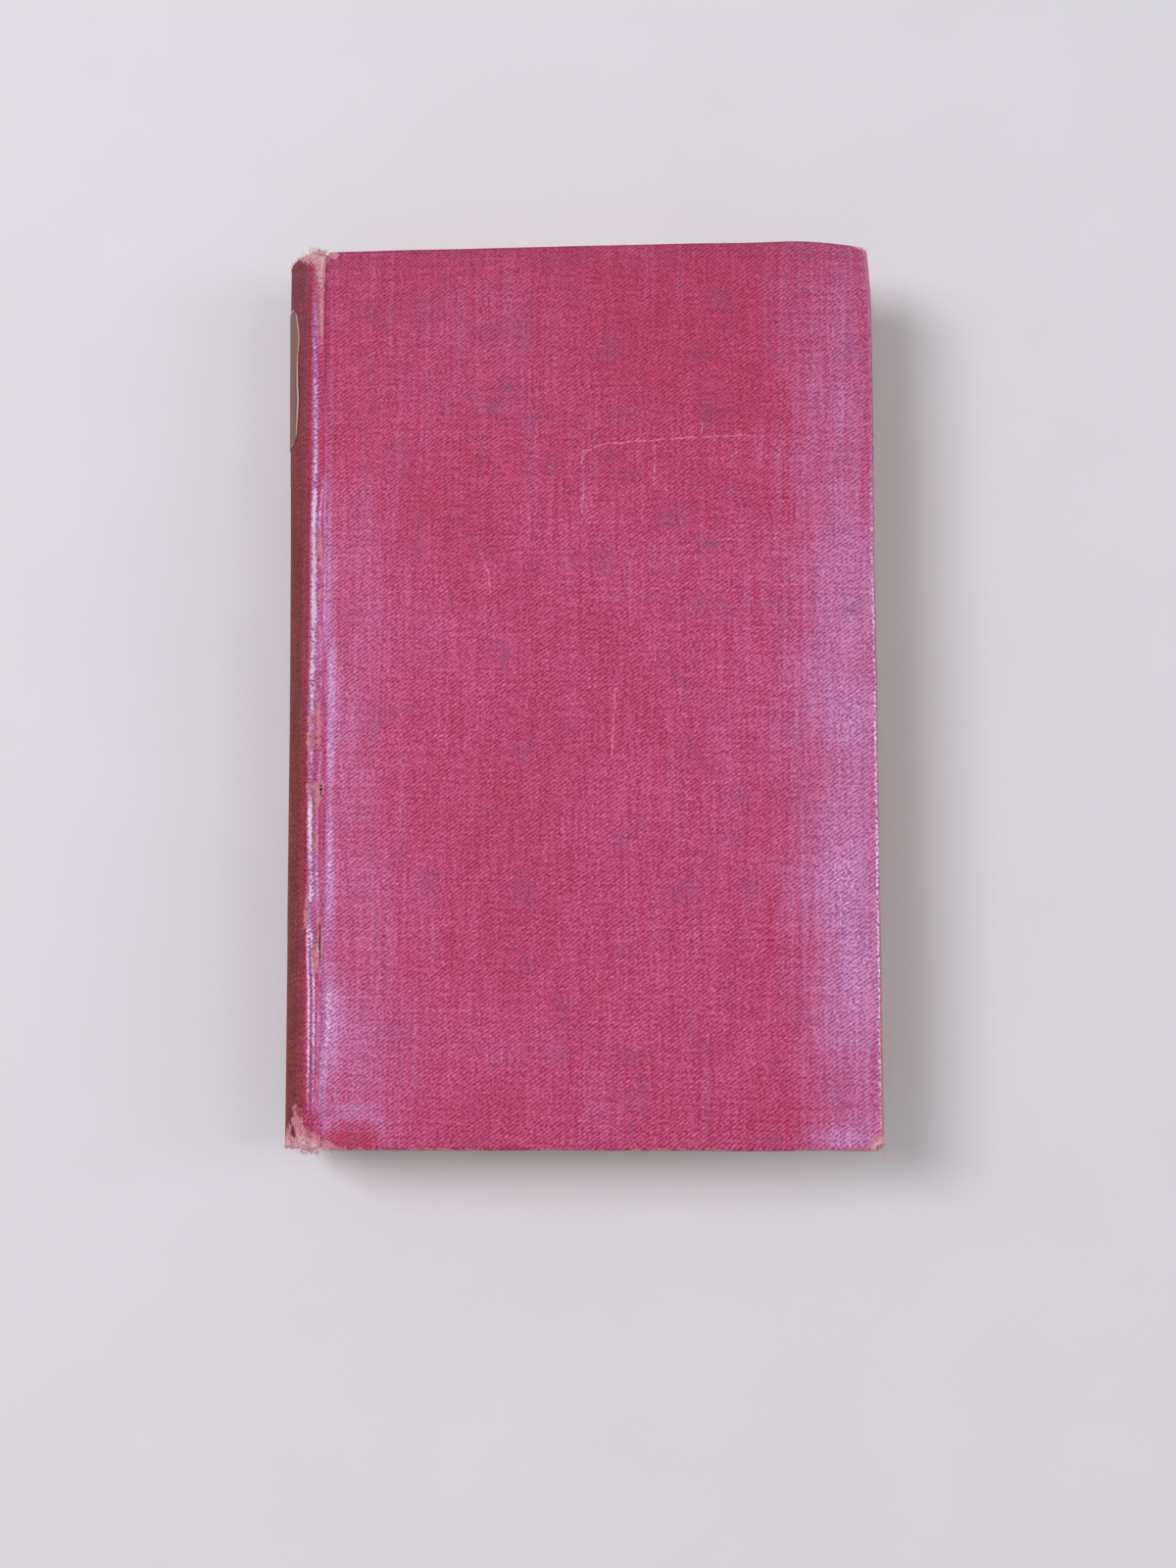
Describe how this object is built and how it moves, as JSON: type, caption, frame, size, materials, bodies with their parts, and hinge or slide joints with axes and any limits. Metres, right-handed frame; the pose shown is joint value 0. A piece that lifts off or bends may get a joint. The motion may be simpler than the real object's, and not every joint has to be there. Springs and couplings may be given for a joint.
{
  "type": "hardback book",
  "caption": "Closed cloth-covered hardback book with a round spine, a hollow back, grooved joints and two hinged covers.",
  "frame": {"origin": "centre of the back cover's outer face, at the middle of the book's width and height", "axes": "+X from the spine to the fore-edge, +Y from the tail to the head, +Z from the back cover to the front cover"},
  "size_m": [0.125, 0.19, 0.0282],
  "materials": {
    "pages": "matte",
    "endpaper": "matte",
    "sewing_tape": "matte",
    "thread": "matte",
    "mull_cloth": "matte",
    "kraft": "matte",
    "inlay_manila": "matte",
    "bookcloth": "matte",
    "label_paper": "matte",
    "greyboard": "matte"
  },
  "bodies": {
    "text_block": {"text_block": "pages", "front_flyleaf": "endpaper", "back_flyleaf": "endpaper", "sewing_tapes": "sewing_tape", "sewing_thread": "thread", "mull": "mull_cloth", "spine_lining": "kraft", "head_band": "thread", "tail_band": "thread", "spine_inlay": "inlay_manila", "spine_cloth": "bookcloth", "spine_label": "label_paper", "front_joint_cloth": "bookcloth", "front_inner_hinge": "endpaper", "back_joint_cloth": "bookcloth", "back_inner_hinge": "endpaper"},
    "front_cover": {"front_board": "greyboard", "front_cloth": "bookcloth", "front_pastedown": "endpaper"},
    "back_cover": {"back_board": "greyboard", "back_cloth": "bookcloth", "back_pastedown": "endpaper"}
  },
  "joints": [
    {"name": "front_hinge", "type": "hinge", "parent": "text_block", "child": "front_cover", "pos_m": [-0.0558, 0, 0.0281], "axis": [0, -1, 0], "range_deg": [0, 178], "deforming": ["front_joint_cloth", "front_inner_hinge"]},
    {"name": "back_hinge", "type": "hinge", "parent": "text_block", "child": "back_cover", "pos_m": [-0.0558, 0, 0.0001], "axis": [0, 1, 0], "range_deg": [0, 178], "deforming": ["back_joint_cloth", "back_inner_hinge"]}
  ]
}
